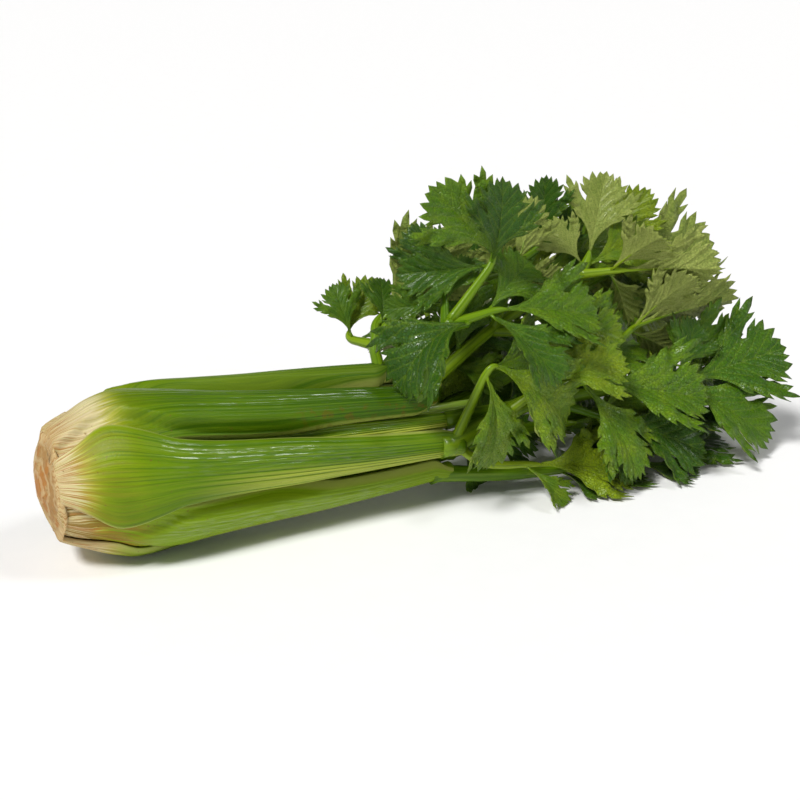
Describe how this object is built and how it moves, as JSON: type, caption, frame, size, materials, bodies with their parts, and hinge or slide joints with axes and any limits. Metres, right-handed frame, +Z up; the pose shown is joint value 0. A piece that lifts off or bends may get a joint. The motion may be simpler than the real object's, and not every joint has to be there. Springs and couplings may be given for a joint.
{
  "type": "head of celery",
  "caption": "Head of celery lying on its side: ribbed stalks wrapped round a trimmed butt, with toothed compound leaves.",
  "frame": {"origin": "centre of the bounding box's base, on the surface that the head lies on", "axes": "+X along the head from the cut root end to the leaf tips, +Z up, -Y towards the side that shows the front stalk"},
  "size_m": [0.4519, 0.1704, 0.1836],
  "materials": {
    "butt": "matte",
    "stalk": "satin",
    "leaf": "satin",
    "heart": "satin"
  },
  "bodies": {
    "root": {"butt": "butt", "stalk_front": "stalk", "stalk_upper_back": "stalk", "stalk_lower_back": "stalk", "stalk_upper_front": "stalk", "stalk_back": "stalk", "stalk_lower_front": "stalk", "stalk_top": "stalk", "stalk_inner_front": "stalk", "stalk_inner_top": "stalk", "stalk_inner_back": "stalk", "stalk_inner_bottom": "stalk", "leaf_front": "leaf", "leaf_upper_back": "leaf", "leaf_lower_back": "leaf", "leaf_upper_front": "leaf", "leaf_back": "leaf", "leaf_lower_front": "leaf", "leaf_top": "leaf", "leaf_inner_front": "leaf", "leaf_inner_top": "leaf", "leaf_inner_back": "leaf", "leaf_inner_bottom": "leaf", "heart_0": "heart", "heart_1": "heart", "heart_2": "heart"}
  },
  "joints": []
}
